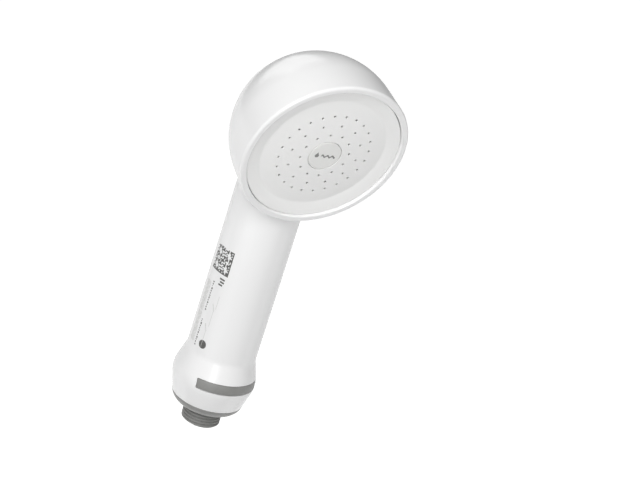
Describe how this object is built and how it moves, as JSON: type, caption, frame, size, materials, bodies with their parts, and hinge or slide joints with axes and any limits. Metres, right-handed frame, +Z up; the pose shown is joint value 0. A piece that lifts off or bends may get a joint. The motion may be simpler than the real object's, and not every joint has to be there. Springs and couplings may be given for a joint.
{
  "type": "handheld shower head",
  "caption": "Handheld filter shower head with a round tilted spray face, wide straight handle, flared tail and threaded inlet with a sprung check valve.",
  "frame": {"origin": "centre of the inlet's open lower end, on the handle's axis", "axes": "+Z up along the handle towards the head; -Y the side that the water leaves from; X across, the object is nearly mirrored about the YZ plane"},
  "size_m": [0.0882, 0.0731, 0.2203],
  "materials": {
    "white_shell": "satin",
    "white_plate": "fine matt",
    "grey_plastic": "satin",
    "badge_plastic": "satin",
    "seal_rubber": "matt",
    "white_insert": "matt",
    "steel_fine": "bright",
    "screw_steel": "bright",
    "clear_tube": "clear",
    "fibre": "matt",
    "resin": "cast",
    "valve_plastic": "smooth",
    "limiter_plastic": "smooth"
  },
  "bodies": {
    "shower": {"head_shell": "white_shell", "handle_tube": "white_shell", "tail_shell": "white_shell", "band_inlay": "grey_plastic", "inlet_cap": "grey_plastic", "spray_face": "white_plate", "face_o_ring": "seal_rubber", "flow_spreader": "white_insert", "badge": "badge_plastic", "centre_screw": "screw_steel", "screw_washer": "seal_rubber", "neck_o_ring": "seal_rubber", "cartridge_head": "white_insert", "cartridge_o_ring": "seal_rubber", "potting_disc": "resin", "fibre_bundle": "fibre", "cartridge_tube": "clear_tube", "cartridge_base": "white_insert", "prefilter_disc": "steel_fine", "tail_o_ring": "seal_rubber", "cap_o_ring": "seal_rubber", "inlet_strainer": "steel_fine", "check_valve_body": "valve_plastic", "valve_o_ring": "seal_rubber", "valve_spring": "steel_fine", "valve_guide": "valve_plastic", "valve_clip": "steel_fine", "flow_limiter": "limiter_plastic", "limiter_ring": "seal_rubber"},
    "check_valve_poppet": {"valve_poppet": "valve_plastic", "poppet_seal": "seal_rubber"}
  },
  "joints": [
    {"name": "valve_lift", "type": "slide", "parent": "shower", "child": "check_valve_poppet", "axis": [0, 0, 1], "range_m": [0, 0.0025], "stiffness_N_per_m": 120, "springref_m": -0.0025, "deforming": ["valve_spring"]}
  ]
}
